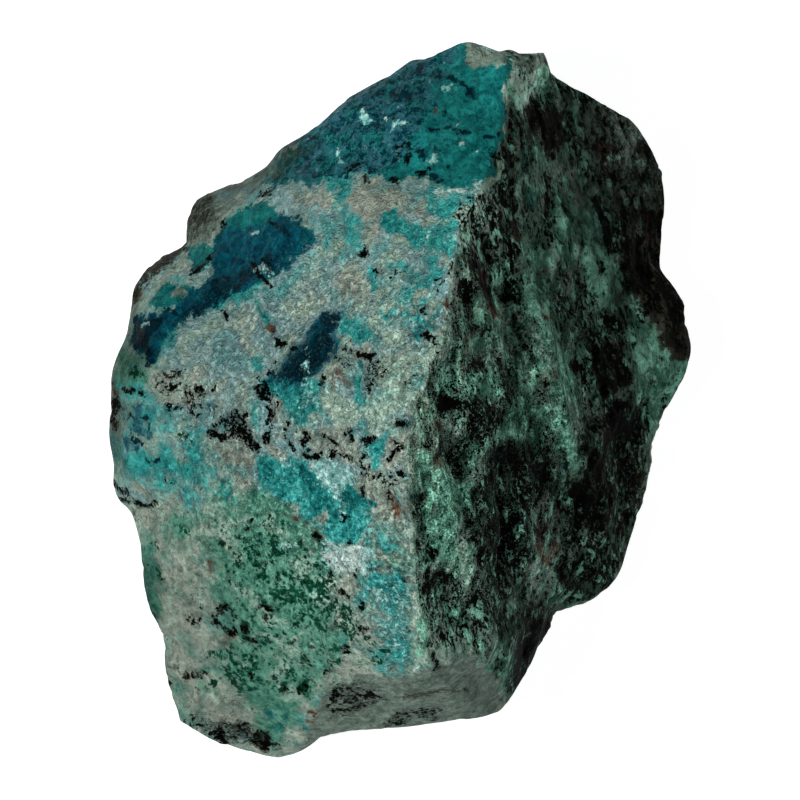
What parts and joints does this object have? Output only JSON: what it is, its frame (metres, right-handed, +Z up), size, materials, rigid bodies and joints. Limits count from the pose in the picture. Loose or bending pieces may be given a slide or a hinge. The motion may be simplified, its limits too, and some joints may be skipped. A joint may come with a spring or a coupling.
{
  "type": "chrysocolla specimen",
  "caption": "Rough chrysocolla hand specimen: a roof-shaped stone with a mineral-coated face, a steep ribbed face and a flat broken base that it rests on.",
  "frame": {"origin": "on the surface the stone rests on, under the middle of its box", "axes": "+Z up, +Y along the stone towards its far tip, +X towards the steep ribbed face"},
  "size_m": [0.0584, 0.0718, 0.042],
  "materials": {
    "mineral_rock": "matt broken rock with pale blue, turquoise and teal chrysocolla, green malachite, buff grey rock and black oxide dendrites"
  },
  "bodies": {
    "root": {"stone": "mineral_rock"}
  },
  "joints": []
}
